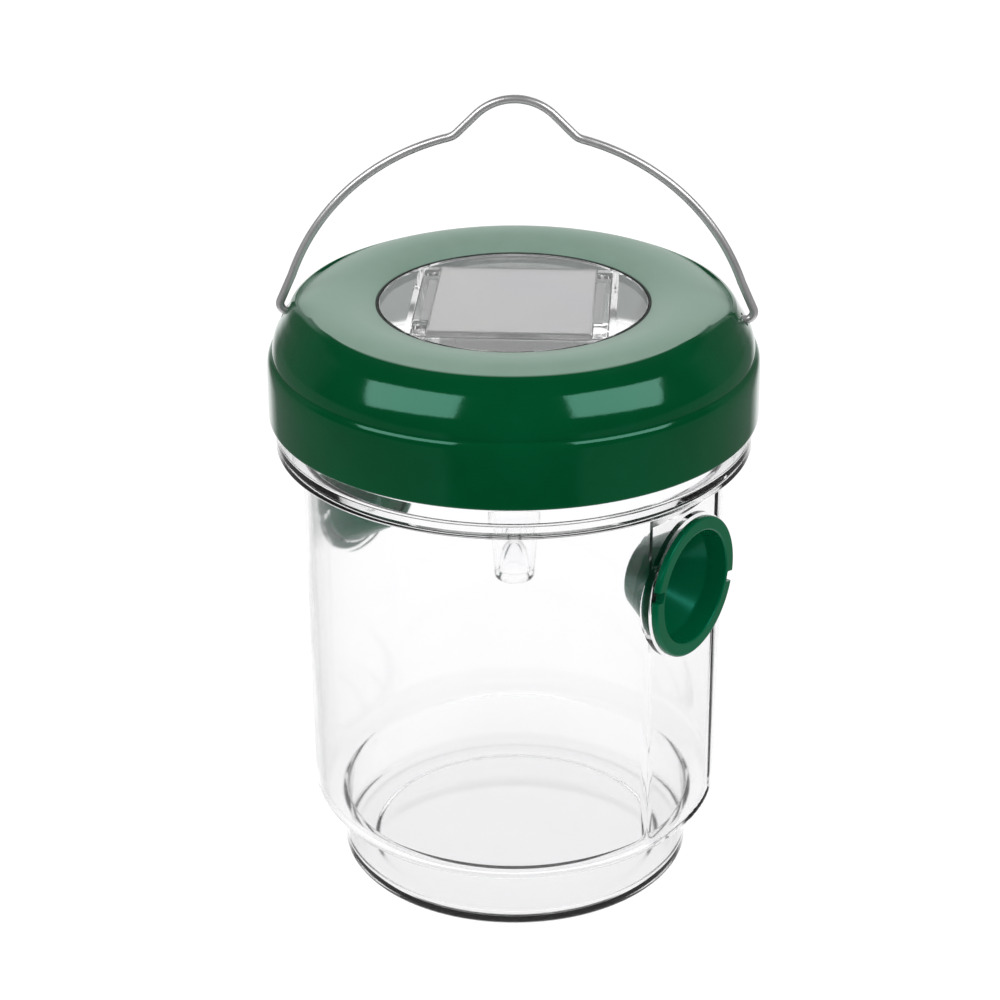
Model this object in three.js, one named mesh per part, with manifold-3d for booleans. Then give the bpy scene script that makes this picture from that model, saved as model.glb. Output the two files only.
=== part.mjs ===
// Hanging solar wasp trap: clear jar with two entrance funnels, and a twist-off lid that holds a
// wire bail, a solar module and a lamp tube. Units are millimetres, +Z is up, the origin is the
// centre of the jar's foot, and +X runs along the entrance funnels.

import * as THREE from 'three';
import { mergeVertices } from 'three/addons/utils/BufferGeometryUtils.js';
import Module from 'manifold-3d';

const wasm = await Module();
wasm.setup();

// ---- Driving dimensions -------------------------------------------------------------------

const LID_TURN = 31.6;        // degrees, how far the lid is turned from the funnel axis
const GAP = 0.3;              // clearance between neighbouring pieces
const ROUND = 48;             // facets round the jar and the lid
const PORT_ROUND = 32;        // facets round the funnels and their bores

const FOOT_R = 46.8;          // jar
const FOOT_TOP = 16.0;
const SHOULDER_R = 7.5;
const BODY_R = 54.3;
const BODY_TOP = 119.0;
const WALL = 1.7;
const FLOOR_TOP = 2.0;
const BAND_R = 61.0;
const BAND_TOP = 127.1;
const NECK_R = 58.6;
const MOUTH_R = 57.0;
const RIM_Z = 143.7;

const PORT_Z = 91.6;          // entrance ports
const FACET_X = 52.1;
const FACET_TOP = 113.4;
const PORT_COLLAR_R = 19.0;
const PORT_COLLAR_X = 53.5;
const PORT_BORE_R = 15.9;
const FLANGE_R = 18.4;
const FLANGE_X = 55.7;
const FLANGE_THICK = 1.9;
const TUNNEL_R = 6.2;
const NOTCH_WIDTH = 2.8;
const NOTCH_TILT = -13;

const LID_R = 62.6;           // lid
const LID_BOTTOM = 127.5;
const SKIRT_INNER_R = 61.0;
const WINDOW_R = 34.6;
const EAR_HEIGHT = 1.2;
const EAR_SPREAD = 48;        // degrees each side of the bail axis

const LUG_COUNT = 4;          // closure lugs
const LUG_SPAN = 36;          // degrees
const JAR_LUG_Z = 137.0;
const LID_LUG_Z = 133.5;
const LUG_HEIGHT = 2.5;

const BAIL_Z = 152.3;         // bail
const WIRE_R = 1.13;
const BAIL_SHIFT = 0.3;       // along its pivot axis
const BAIL_HOLE_R = 1.7;

const POD_X = 52.0;           // solar module
const POD_Y = 48.0;
const POD_SHIFT = 2.0;        // how far the module's box sits off the lid's axis
const POD_WALL = 1.6;
const POD_TOP = 156.2;
const POD_BOTTOM = 135.6;
const PANEL_X = 40.0;
const PANEL_Y = 44.4;
const CLIP_Y = 29.6;          // length of the strips beside the panel
const LAMP_TUBE_R = 6.8;
const LAMP_TIP_Z = 79.0;

// ---- Materials ----------------------------------------------------------------------------

function plastic(color, roughness, opacity = 1) {
  const transparent = opacity < 1;
  return new THREE.MeshStandardMaterial({ color, roughness, metalness: 0, opacity, transparent });
}

function metal(color, roughness) {
  return new THREE.MeshStandardMaterial({ color, roughness, metalness: 1 });
}

const CLEAR = plastic(0xf2f3f3, 0.08, 0.3);
const GREEN = plastic(0x00542f, 0.25);
const RUBBER = plastic(0x1c211f, 0.7);
const WHITE = plastic(0xe9e9ea, 0.4);
const GREY = plastic(0xb9bbbd, 0.5);
const PANEL = plastic(0xdcd9e2, 0.15);
const BOARD = plastic(0xdfe5df, 0.45);
const STEEL = metal(0xc4c4c6, 0.22);
const LED_CLEAR = plastic(0xf4f4f2, 0.1, 0.5);

// ---- Geometry helpers ---------------------------------------------------------------------

const radians = THREE.MathUtils.degToRad;

// Point at a distance and an angle in degrees round the Z axis.
function polar(radius, degrees) {
  const angle = radians(degrees);
  return [radius * Math.cos(angle), radius * Math.sin(angle)];
}

// Points of a circular arc in a profile, from one angle to another in degrees.
function arc(centreR, centreZ, radius, from, to, steps) {
  return Array.from({ length: steps + 1 }, (_, i) => {
    const [dr, dz] = polar(radius, from + ((to - from) * i) / steps);
    return [centreR + dr, centreZ + dz];
  });
}

// Body of revolution about Z from a profile of [radius, height] points.
function lathe(profile, facets) {
  const points = profile.map(([r, z]) => new THREE.Vector2(r, z));
  return new THREE.LatheGeometry(points, facets).rotateX(Math.PI / 2);
}

function closed(profile) {
  return [...profile, profile[0]];
}

function cylinder(radius, low, high, facets, x = 0, y = 0) {
  const geometry = new THREE.CylinderGeometry(radius, radius, high - low, facets);
  return geometry.rotateX(Math.PI / 2).translate(x, y, (low + high) / 2);
}

// Cylinder along X between two stations, on the line y = 0 at height z.
function crossCylinder(radius, from, to, facets, z) {
  const geometry = new THREE.CylinderGeometry(radius, radius, to - from, facets);
  return geometry.rotateZ(-Math.PI / 2).translate((from + to) / 2, 0, z);
}

function box(low, high) {
  const size = high.map((value, i) => value - low[i]);
  const centre = high.map((value, i) => (value + low[i]) / 2);
  return new THREE.BoxGeometry(...size).translate(...centre);
}

// Slice of a ring about Z, between two radii, two angles in degrees and two heights.
function ringSector(inner, outer, from, to, low, high) {
  const shape = new THREE.Shape();
  shape.absarc(0, 0, outer, radians(from), radians(to), false);
  shape.absarc(0, 0, inner, radians(to), radians(from), true);
  const options = { depth: high - low, bevelEnabled: false, curveSegments: 5 };
  return new THREE.ExtrudeGeometry(shape, options).translate(0, 0, low);
}

// Closed mesh to manifold solid, with shared vertices merged and empty triangles dropped.
function solid(geometry) {
  const bare = geometry.clone();
  bare.deleteAttribute('normal');
  bare.deleteAttribute('uv');
  const merged = mergeVertices(bare, 1e-4);
  const index = merged.index.array;
  const triangles = [];
  for (let i = 0; i < index.length; i += 3) {
    const [a, b, c] = index.slice(i, i + 3);
    if (a !== b && b !== c && c !== a) triangles.push(a, b, c);
  }
  const mesh = new wasm.Mesh({
    numProp: 3,
    vertProperties: merged.attributes.position.array,
    triVerts: new Uint32Array(triangles),
  });
  return new wasm.Manifold(mesh);
}

function joined(geometries) {
  return geometries.map(solid).reduce((all, next) => all.add(next));
}

function geometryOf(body) {
  const mesh = body.getMesh();
  const geometry = new THREE.BufferGeometry();
  geometry.setAttribute('position', new THREE.BufferAttribute(mesh.vertProperties, mesh.numProp));
  geometry.setIndex(new THREE.BufferAttribute(mesh.triVerts, 1));
  geometry.computeVertexNormals();
  return geometry;
}

function addPiece(group, name, body, material) {
  const mesh = new THREE.Mesh(geometryOf(body), material);
  mesh.name = name;
  group.add(mesh);
  return mesh;
}

const SIDES = [1, -1];
const QUARTERS = [0, 1, 2, 3];

// ---- Jar ----------------------------------------------------------------------------------

// Outside of the jar: recessed base, foot, rounded shoulder, body, collar band and neck.
function jarOutside() {
  const shoulderR = BODY_R - 0.1 - SHOULDER_R;
  return lathe([
    [0, 1.2],
    [37.2, 1.2],
    [38.4, 0],
    [FOOT_R - 2, 0],
    [FOOT_R - 0.7, 0.5],
    [FOOT_R - 0.2, 1.8],
    [FOOT_R, FOOT_TOP - 0.4],
    [FOOT_R + 0.4, FOOT_TOP],
    ...arc(shoulderR, FOOT_TOP + SHOULDER_R, SHOULDER_R, -80, 0, 5),
    [BODY_R + 0.1, BODY_TOP],
    [BAND_R - 0.6, BODY_TOP],
    [BAND_R, BODY_TOP + 0.6],
    [BAND_R, BAND_TOP - 0.4],
    [BAND_R - 0.4, BAND_TOP],
    [NECK_R, BAND_TOP],
    [NECK_R, RIM_Z - 0.5],
    [NECK_R - 0.5, RIM_Z],
    [0, RIM_Z],
  ], ROUND);
}

// Space inside the jar, wider above the body where the collar band and the neck are.
function jarCavity() {
  const inner = BODY_R - WALL;
  const shoulderR = BODY_R - 0.1 - SHOULDER_R;
  return lathe([
    [0, FLOOR_TOP],
    [FOOT_R - WALL - 1.8, FLOOR_TOP],
    [FOOT_R - WALL, FLOOR_TOP + 1.8],
    [FOOT_R - WALL, FOOT_TOP + 0.7],
    [FOOT_R - 0.5, FOOT_TOP + WALL],
    ...arc(shoulderR, FOOT_TOP + SHOULDER_R, SHOULDER_R - WALL, -90, 0, 4),
    [inner, BODY_TOP - 0.4],
    [inner + 1, BODY_TOP + 1.6],
    [MOUTH_R, BODY_TOP + 2.4],
    [MOUTH_R, RIM_Z + 1],
    [0, RIM_Z + 1],
  ], ROUND);
}

// Block that flattens the wall on one side, from a station on X outwards and up to a height.
function facetBlock(side, station, top) {
  const xs = [side * station, side * 70].sort((a, b) => a - b);
  return box([xs[0], -40, -1], [xs[1], 40, top]);
}

// The cavity stops short behind each facet, so that the wall keeps its thickness there.
function flattenedCavity() {
  let cavity = solid(jarCavity());
  for (const side of SIDES) {
    cavity = cavity.subtract(solid(facetBlock(side, FACET_X - WALL, FACET_TOP + WALL)));
  }
  return cavity;
}

function makeJar() {
  let jar = solid(jarOutside());
  for (const side of SIDES) {
    const collarEnds = [side * (FACET_X - 1.4), side * PORT_COLLAR_X].sort((a, b) => a - b);
    jar = jar.subtract(solid(facetBlock(side, FACET_X, FACET_TOP)));
    jar = jar.add(solid(crossCylinder(PORT_COLLAR_R, ...collarEnds, PORT_ROUND, PORT_Z)));
  }
  jar = jar.subtract(flattenedCavity());
  for (const side of SIDES) {
    const boreEnds = [side * 45, side * 60].sort((a, b) => a - b);
    jar = jar.subtract(solid(crossCylinder(PORT_BORE_R, ...boreEnds, PORT_ROUND, PORT_Z)));
  }
  for (let i = 0; i < LUG_COUNT; i += 1) {
    const centre = (360 / LUG_COUNT) * i;
    const ends = [centre - LUG_SPAN / 2, centre + LUG_SPAN / 2];
    const lug = ringSector(NECK_R - 0.6, NECK_R + 1.9, ...ends, JAR_LUG_Z, JAR_LUG_Z + LUG_HEIGHT);
    jar = jar.add(solid(lug));
  }
  return jar;
}

// ---- Entrance funnels ---------------------------------------------------------------------

// Funnel about Z, with its flange outwards: wide mouth, cone, and a tip wall with a round hole.
function funnelProfile() {
  const back = FLANGE_X - FLANGE_THICK;
  return closed([
    [TUNNEL_R, 39.4],
    [8.3, 39.4],
    [9.2, 40.0],
    [15.4, 50.0],
    [15.5, back],
    [FLANGE_R, back],
    [FLANGE_R, FLANGE_X - 0.4],
    [FLANGE_R - 0.4, FLANGE_X],
    [15.3, FLANGE_X],
    [14.9, FLANGE_X - 0.5],
    [13.9, 50.4],
    [8.0, 41.0],
    [TUNNEL_R, 40.8],
  ]);
}

function makeFunnel(side) {
  const notchInner = 15.6;
  const half = NOTCH_WIDTH / 2;
  let funnel = solid(lathe(funnelProfile(), PORT_ROUND));
  for (const end of SIDES) {
    const reach = [end * notchInner, end * 20].sort((a, b) => a - b);
    const notch = box([-half, reach[0], 50], [half, reach[1], 60]).rotateZ(radians(NOTCH_TILT));
    funnel = funnel.subtract(solid(notch));
  }
  const turned = geometryOf(funnel).rotateY(Math.PI / 2);
  if (side < 0) turned.rotateZ(Math.PI);
  return solid(turned.translate(0, 0, PORT_Z));
}

// ---- Lid ----------------------------------------------------------------------------------

// Outer skin of the lid from the window's edge to the skirt: [radius, height, share of the ear].
const LID_OUTER = [
  [WINDOW_R, 154.4, 0],
  [WINDOW_R, 156.0, 0],
  [34.9, 156.5, 0],
  [35.6, 156.85, 0],
  [37.0, 157.4, 0],
  [39.5, 158.15, 0],
  [42.5, 158.7, 0],
  [45.0, 158.85, 0],
  [47.5, 158.7, 0],
  [49.8, 158.25, 0],
  [51.8, 157.5, 0],
  [53.8, 156.4, 1],
  [55.6, 154.95, 0.8],
  [57.2, 153.05, 0.3],
  [58.6, 150.95, 0],
  [59.9, 149.0, 0],
  [60.8, 146.8, 0],
  [61.2, 144.6, 0],
  [61.8, 143.7, 0],
  [62.2, 142.4, 0],
  [62.4, 139.0, 0],
  [LID_R, LID_BOTTOM + 0.8, 0],
  [LID_R - 0.2, LID_BOTTOM, 0],
];

const LID_INNER = [
  [SKIRT_INNER_R, LID_BOTTOM],
  [SKIRT_INNER_R - 0.1, 140.0],
  [60.4, 143.2],
  [59.4, 146.0],
  [57.5, 148.8],
  [55.0, 151.4],
  [51.4, 154.2],
  [47.0, 156.2],
  [42.5, 157.1],
  [38.0, 156.2],
  [36.4, 154.4],
];

// Height of the ear at an angle: full at the bail's axis, fading to nothing on both sides.
function earHeight(x, y) {
  const away = THREE.MathUtils.radToDeg(Math.atan2(Math.abs(y), Math.abs(x)));
  if (away >= EAR_SPREAD) return 0;
  return EAR_HEIGHT * 0.5 * (1 + Math.cos((Math.PI * away) / EAR_SPREAD));
}

// Dome and skirt as one shell of revolution, its shoulder raised into an ear at each bail hole.
function lidShell() {
  const profile = closed([...LID_OUTER, ...LID_INNER]).reverse();
  const geometry = lathe(profile, ROUND);
  const position = geometry.attributes.position;
  for (let i = 0; i < position.count; i += 1) {
    const share = profile[i % profile.length][2] ?? 0;
    const lift = share * earHeight(position.getX(i), position.getY(i));
    position.setZ(i, position.getZ(i) + lift);
  }
  return geometry;
}

const POD_SCREW_RING = 45.0;      // the module's flange is screwed to the lid on this radius
const POD_FLANGE_R = 48.5;
const POD_FLANGE_BOTTOM = 152.6;
const POD_FLANGE_TOP = 154.0;

function makeLid() {
  const sealRib = closed([[57.6, 145.9], [58.8, 145.9], [58.8, 148.6], [57.6, 149.8]]);
  let lid = solid(lidShell()).add(solid(lathe(sealRib, ROUND)));
  for (let i = 0; i < LUG_COUNT; i += 1) {
    const centre = (360 / LUG_COUNT) * (i + 0.5) - LID_TURN;
    const ends = [centre - LUG_SPAN / 2, centre + LUG_SPAN / 2];
    const radii = [SKIRT_INNER_R - 1.9, SKIRT_INNER_R + 0.6];
    lid = lid.add(solid(ringSector(...radii, ...ends, LID_LUG_Z, LID_LUG_Z + LUG_HEIGHT)));
  }
  for (const quarter of QUARTERS) {
    const place = polar(POD_SCREW_RING, 45 + 90 * quarter);
    lid = lid.add(solid(cylinder(2.6, POD_FLANGE_TOP + GAP, 158.0, 16, ...place)));
    lid = lid.subtract(solid(cylinder(1.3, POD_FLANGE_TOP - 1, 157.4, 12, ...place)));
  }
  lid = lid.subtract(solid(crossCylinder(BAIL_HOLE_R, -66, -50, 16, BAIL_Z)));
  return lid.subtract(solid(crossCylinder(BAIL_HOLE_R, 50, 66, 16, BAIL_Z)));
}

function makeGasket() {
  return solid(lathe(closed([
    [57.2, RIM_Z + GAP],
    [59.4, RIM_Z + GAP],
    [59.4, 145.6],
    [57.2, 145.6],
  ]), ROUND));
}

function makeWindowSeal() {
  const top = POD_TOP + 0.1;
  return solid(lathe(closed([
    [WINDOW_R - 0.45, POD_FLANGE_TOP + GAP],
    [WINDOW_R - 0.15, POD_FLANGE_TOP + GAP],
    [WINDOW_R - 0.15, top],
    [WINDOW_R - 0.45, top],
  ]), ROUND));
}

// ---- Bail ---------------------------------------------------------------------------------

// Planar curve in the XZ plane that follows a 2D path.
class UprightCurve extends THREE.Curve {
  constructor(path) {
    super();
    this.path = path;
    this.arcLengthDivisions = 600;
  }

  getPoint(t, target = new THREE.Vector3()) {
    const point = this.path.getPoint(t);
    return target.set(point.x, 0, point.y);
  }
}

// Centre line of the wire in its own plane, measured from the pivot: in through one ear, up and
// over in a wide arc, over the small hump in the middle that the hook sits in, and back down.
function bailPath() {
  const hump = { h: 42.8, r: 13.5 };
  const main = { x: 1.5, h: -10.0, r: 58.3 };
  const knee = { r: 5.0 };
  const bend = { r: 2.0 };
  const legTop = radians(20);
  const legLean = radians(24);

  // The knee's centre is its radius off the 45 degree slope and outside the main arc.
  const slopeSum = hump.h + Math.SQRT2 * (hump.r + knee.r);
  const reach = main.r + knee.r;
  const b = (slopeSum - main.h + main.x) / 2;
  const c = (main.x ** 2 + (slopeSum - main.h) ** 2 - reach ** 2) / 2;
  knee.x = b - Math.sqrt(b * b - c);
  knee.h = slopeSum - knee.x;
  const kneeAngle = Math.atan2(knee.h - main.h, knee.x - main.x);

  // The leg runs from the main arc down to the bend that turns the wire into the ear.
  const legX = main.x + main.r * Math.cos(legTop);
  const legH = main.h + main.r * Math.sin(legTop);
  const drop = (legH - bend.r - bend.r * Math.sin(legLean)) / Math.cos(legLean);
  bend.x = legX + drop * Math.sin(legLean) - bend.r * Math.cos(legLean);
  const tail = 53.6;

  const half = Math.PI / 2;
  const path = new THREE.Path();
  path.moveTo(-tail, 0);
  path.lineTo(-bend.x, 0);
  path.absarc(-bend.x, bend.r, bend.r, -half, -Math.PI - legLean, true);
  path.absarc(-main.x, main.h, main.r, Math.PI - legTop, Math.PI - kneeAngle, true);
  path.absarc(-knee.x, knee.h, knee.r, -kneeAngle, -Math.PI / 4, false);
  path.absarc(0, hump.h, hump.r, (3 * Math.PI) / 4, Math.PI / 4, true);
  path.absarc(knee.x, knee.h, knee.r, (5 * Math.PI) / 4, Math.PI + kneeAngle, false);
  path.absarc(main.x, main.h, main.r, kneeAngle, legTop, true);
  path.absarc(bend.x, bend.r, bend.r, legLean, -half, true);
  path.lineTo(tail, 0);
  return path;
}

function makeBail() {
  const section = new THREE.Shape();
  section.absarc(0, 0, WIRE_R, 0, 2 * Math.PI, false);
  const wire = new THREE.ExtrudeGeometry(section, {
    steps: 96,
    curveSegments: 5,
    bevelEnabled: false,
    extrudePath: new UprightCurve(bailPath()),
  });
  return solid(wire.translate(BAIL_SHIFT, 0, BAIL_Z));
}

// ---- Solar module -------------------------------------------------------------------------

const POD_CORNER = [21.8, 18.0];  // the module's own screws, from the middle of its box
const COVER_BOTTOM = POD_BOTTOM + 2 + GAP;
const POD_PLATE = 1.0;            // thickness of the window over the panel

function podCorner(quarter) {
  const [x, y] = POD_CORNER;
  const signs = [[1, 1], [-1, 1], [-1, -1], [1, -1]][quarter];
  return [signs[0] * x, signs[1] * y + POD_SHIFT];
}

// Block centred on the module's box, with its full sizes on X and Y and its two heights.
function podBlock(sizeX, sizeY, low, high) {
  return box([-sizeX / 2, POD_SHIFT - sizeY / 2, low], [sizeX / 2, POD_SHIFT + sizeY / 2, high]);
}

// Corner boss with the rib that ties it to the side wall.
function podBoss([x, y]) {
  const wall = Math.sign(x) * (POD_X / 2 - POD_WALL + 0.5);
  const top = POD_FLANGE_BOTTOM + GAP;
  return joined([
    cylinder(2.3, COVER_BOTTOM, top, 16, x, y),
    box([Math.min(x, wall), y - 0.6, COVER_BOTTOM], [Math.max(x, wall), y + 0.6, top]),
  ]);
}

// Clear cover: round window, flange under the lid, and a square skirt with a boss in each corner.
function makePodCover() {
  const insideX = POD_X - 2 * POD_WALL;
  const insideY = POD_Y - 2 * POD_WALL;
  const ceiling = POD_TOP - POD_PLATE;
  let cover = joined([
    cylinder(WINDOW_R - 0.6, POD_FLANGE_BOTTOM, POD_TOP, ROUND),
    cylinder(POD_FLANGE_R, POD_FLANGE_BOTTOM, POD_FLANGE_TOP, ROUND),
    podBlock(POD_X, POD_Y, COVER_BOTTOM, POD_FLANGE_TOP - 0.5),
  ]);
  const hollows = [
    podBlock(insideX, insideY, COVER_BOTTOM - 1, POD_FLANGE_BOTTOM),
    podBlock(PANEL_X + 4 * GAP, PANEL_Y + 2 * GAP, POD_FLANGE_BOTTOM - 1, ceiling),
    podBlock(insideX, CLIP_Y + 4 * GAP, POD_FLANGE_BOTTOM - 1, ceiling),
  ];
  cover = cover.subtract(joined(hollows));
  for (const quarter of QUARTERS) {
    const corner = podCorner(quarter);
    const ring = polar(POD_SCREW_RING, 45 + 90 * quarter);
    const pilot = solid(cylinder(1.35, COVER_BOTTOM - 1, 150.5, 12, ...corner));
    const hole = solid(cylinder(1.3, POD_FLANGE_BOTTOM - 1, POD_FLANGE_TOP + 1, 12, ...ring));
    cover = cover.add(podBoss(corner)).subtract(pilot).subtract(hole);
  }
  return cover;
}

// Lamp tube: a long clear sheath whose closed end is pushed in like the base of a bottle.
function lampTubeProfile(top) {
  const wall = 1.3;
  return [
    [0, LAMP_TIP_Z + 9.4],
    [1.3, LAMP_TIP_Z + 8.6],
    [2.3, LAMP_TIP_Z + 6.0],
    [2.9, LAMP_TIP_Z + 3.0],
    [3.4, LAMP_TIP_Z + 0.6],
    [4.2, LAMP_TIP_Z],
    [5.0, LAMP_TIP_Z + 0.7],
    [5.4, LAMP_TIP_Z + 2.6],
    [6.2, LAMP_TIP_Z + 13.2],
    [LAMP_TUBE_R, LAMP_TIP_Z + 14.2],
    [LAMP_TUBE_R, top],
    [LAMP_TUBE_R - wall, top],
    [LAMP_TUBE_R - wall, LAMP_TIP_Z + 14.6],
    [4.9, LAMP_TIP_Z + 13.4],
    [4.3, LAMP_TIP_Z + 3.4],
    [4.1, LAMP_TIP_Z + 2.4],
    [3.6, LAMP_TIP_Z + 6.4],
    [2.4, LAMP_TIP_Z + 9.8],
    [0, LAMP_TIP_Z + 10.8],
  ];
}

const SWITCH_Y = -14.5;
const SWITCH_TRAVEL = 2.8;
const BOARD_BOTTOM = POD_BOTTOM + 3.1;
const BOARD_THICK = 1.2;

// Base of the module: screwed-on plate, the lamp tube below it, and a slot for the switch.
function makePodBase() {
  const top = POD_BOTTOM + 2;
  const slot = box([-3.8, SWITCH_Y - 1.7, POD_BOTTOM - 1], [3.8, SWITCH_Y + 1.7, top + 1]);
  let base = solid(podBlock(POD_X, POD_Y, POD_BOTTOM, top));
  base = base.subtract(solid(cylinder(LAMP_TUBE_R - 0.6, POD_BOTTOM - 1, top + 1, 28)));
  base = base.add(solid(lathe(lampTubeProfile(top), 28)));
  base = base.subtract(solid(slot));
  for (const quarter of QUARTERS) {
    base = base.subtract(solid(cylinder(1.4, POD_BOTTOM - 1, top + 1, 12, ...podCorner(quarter))));
  }
  return base;
}

function makePanel() {
  return solid(podBlock(PANEL_X, PANEL_Y, 153.2, POD_TOP - POD_PLATE - GAP));
}

// Grey strip beside the panel, between two corner bosses.
function makePanelClip(side) {
  const xs = [side * 20.5, side * 22.7].sort((a, b) => a - b);
  const ys = [POD_SHIFT - CLIP_Y / 2, POD_SHIFT + CLIP_Y / 2];
  return solid(box([xs[0], ys[0], 152.9], [xs[1], ys[1], 154.3]));
}

function makeBoard() {
  return solid(box([-19.5, -9.5, BOARD_BOTTOM], [19.5, 16.5, BOARD_BOTTOM + BOARD_THICK]));
}

const CELL = { r: 5.25, half: 15, y: 7.5, z: 146.4 };

function makeCell() {
  const profile = [
    [0, -CELL.half],
    [4.2, -CELL.half],
    [4.2, 0.3 - CELL.half],
    [CELL.r - 0.4, 0.3 - CELL.half],
    [CELL.r, 0.8 - CELL.half],
    [CELL.r, CELL.half - 1.6],
    [CELL.r - 0.5, CELL.half - 1.1],
    [1.9, CELL.half - 1.1],
    [1.9, CELL.half],
    [0, CELL.half],
  ];
  return solid(lathe(profile, 24).rotateY(Math.PI / 2).translate(0, CELL.y, CELL.z));
}

// Spring plate that stands on the board at one end of the cell.
function makeContact(side) {
  const near = CELL.half + GAP;
  const foot = BOARD_BOTTOM + BOARD_THICK + GAP;
  const plate = [side * near, side * (near + 0.6)].sort((a, b) => a - b);
  const tab = [side * near, side * (near + 3.4)].sort((a, b) => a - b);
  return joined([
    box([plate[0], CELL.y - 4, foot], [plate[1], CELL.y + 4, CELL.z + 4]),
    box([tab[0], CELL.y - 2, foot], [tab[1], CELL.y + 2, foot + 0.6]),
  ]);
}

function makeLed() {
  return solid(lathe([
    [0, 99.3],
    ...arc(0, 101.8, 2.5, -60, 0, 3),
    [2.5, 107.0],
    [2.9, 107.0],
    [2.9, 108.0],
    [0, 108.0],
  ], 20));
}

function makeLedLead(side) {
  return solid(cylinder(0.35, 108.0 + GAP, BOARD_BOTTOM - GAP, 8, side * 1.27));
}

// Self-tapping screw with its head down: head, then shank.
function makeScrew(x, y, headTop, tip, shankR) {
  return joined([
    cylinder(shankR * 2, headTop - 1.6, headTop, 16, x, y),
    cylinder(shankR, headTop - 0.5, tip, 12, x, y),
  ]);
}

function makeSwitchBody() {
  const low = POD_BOTTOM + 2 + GAP;
  const shell = solid(box([-5, SWITCH_Y - 2.9, low], [5, SWITCH_Y + 2.9, low + 4.2]));
  const pocket = box([-3.6, SWITCH_Y - 1.5, low - 1], [3.6, SWITCH_Y + 1.5, low + 2.8]);
  return shell.subtract(solid(pocket));
}

function makeSwitchSlider() {
  const centre = -SWITCH_TRAVEL / 2;
  const stem = { x: 1.5, y: 1.2, top: POD_BOTTOM + 2 + GAP + 2.5 };
  const knob = { x: 1.7, y: 1.5, low: POD_BOTTOM - 2, top: POD_BOTTOM - 1.2 };
  return joined([
    box([centre - stem.x, SWITCH_Y - stem.y, knob.top - 0.2], [centre + stem.x, SWITCH_Y + stem.y, stem.top]),
    box([centre - knob.x, SWITCH_Y - knob.y, knob.low], [centre + knob.x, SWITCH_Y + knob.y, knob.top]),
  ]);
}

// ---- Assembly -----------------------------------------------------------------------------

function addSolarModule(lid) {
  addPiece(lid, 'pod_cover', makePodCover(), CLEAR);
  addPiece(lid, 'pod_base', makePodBase(), CLEAR);
  addPiece(lid, 'solar_panel', makePanel(), PANEL);
  addPiece(lid, 'panel_clip_right', makePanelClip(1), GREY);
  addPiece(lid, 'panel_clip_left', makePanelClip(-1), GREY);
  addPiece(lid, 'circuit_board', makeBoard(), BOARD);
  addPiece(lid, 'rechargeable_cell', makeCell(), WHITE);
  addPiece(lid, 'cell_contact_positive', makeContact(1), STEEL);
  addPiece(lid, 'cell_contact_negative', makeContact(-1), STEEL);
  addPiece(lid, 'led_lamp', makeLed(), LED_CLEAR);
  addPiece(lid, 'led_lead_positive', makeLedLead(1), STEEL);
  addPiece(lid, 'led_lead_negative', makeLedLead(-1), STEEL);
  addPiece(lid, 'switch_body', makeSwitchBody(), WHITE);
  addPiece(lid, 'switch_slider', makeSwitchSlider(), WHITE);
  for (const quarter of QUARTERS) {
    const corner = podCorner(quarter);
    const ring = polar(POD_SCREW_RING, 45 + 90 * quarter);
    const podScrew = makeScrew(...corner, POD_BOTTOM - GAP, 149.5, 1.05);
    const lidScrew = makeScrew(...ring, POD_FLANGE_BOTTOM - GAP, 157.0, 1.0);
    addPiece(lid, `pod_screw_${quarter + 1}`, podScrew, STEEL);
    addPiece(lid, `lid_screw_${quarter + 1}`, lidScrew, STEEL);
  }
}

function buildTrap() {
  const trap = new THREE.Group();
  addPiece(trap, 'jar', makeJar(), CLEAR);
  addPiece(trap, 'entrance_funnel_right', makeFunnel(1), GREEN);
  addPiece(trap, 'entrance_funnel_left', makeFunnel(-1), GREEN);

  const lid = new THREE.Group();
  lid.rotation.z = radians(LID_TURN);
  addPiece(lid, 'lid', makeLid(), GREEN);
  addPiece(lid, 'lid_gasket', makeGasket(), RUBBER);
  addPiece(lid, 'window_seal', makeWindowSeal(), RUBBER);
  addPiece(lid, 'bail_handle', makeBail(), STEEL);
  addSolarModule(lid);
  trap.add(lid);
  return trap;
}

export default buildTrap();
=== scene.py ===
import math

import bmesh
import bpy
import numpy as np
from mathutils import Matrix, Vector


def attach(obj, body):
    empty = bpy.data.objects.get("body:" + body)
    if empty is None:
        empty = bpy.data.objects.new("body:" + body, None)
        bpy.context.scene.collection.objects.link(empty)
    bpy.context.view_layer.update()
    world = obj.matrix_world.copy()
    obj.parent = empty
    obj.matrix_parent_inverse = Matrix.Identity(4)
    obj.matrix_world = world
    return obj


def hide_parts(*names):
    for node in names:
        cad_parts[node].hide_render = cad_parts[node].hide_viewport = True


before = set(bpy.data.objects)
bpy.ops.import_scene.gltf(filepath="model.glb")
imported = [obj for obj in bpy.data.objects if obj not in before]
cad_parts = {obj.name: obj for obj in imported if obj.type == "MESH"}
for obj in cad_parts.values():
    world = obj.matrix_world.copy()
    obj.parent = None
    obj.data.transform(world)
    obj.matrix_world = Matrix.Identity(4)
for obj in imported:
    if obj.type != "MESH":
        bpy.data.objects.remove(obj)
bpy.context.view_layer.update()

# Sizes are in millimetres and angles in degrees. A mesh is scaled to metres as it is made.
MM = 0.001
LID_TURN = 31.6               # how far the lid is turned from the funnel axis

FOOT_R = 46.8
FOOT_TOP = 16.0
SHOULDER_R = 7.5
BODY_R = 54.3
BODY_TOP = 119.0
WALL = 1.7
BAND_R = 60.9
BAND_TOP = 127.1
NECK_R = 58.55
MOUTH_R = 57.0
RIM_Z = 143.7

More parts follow.
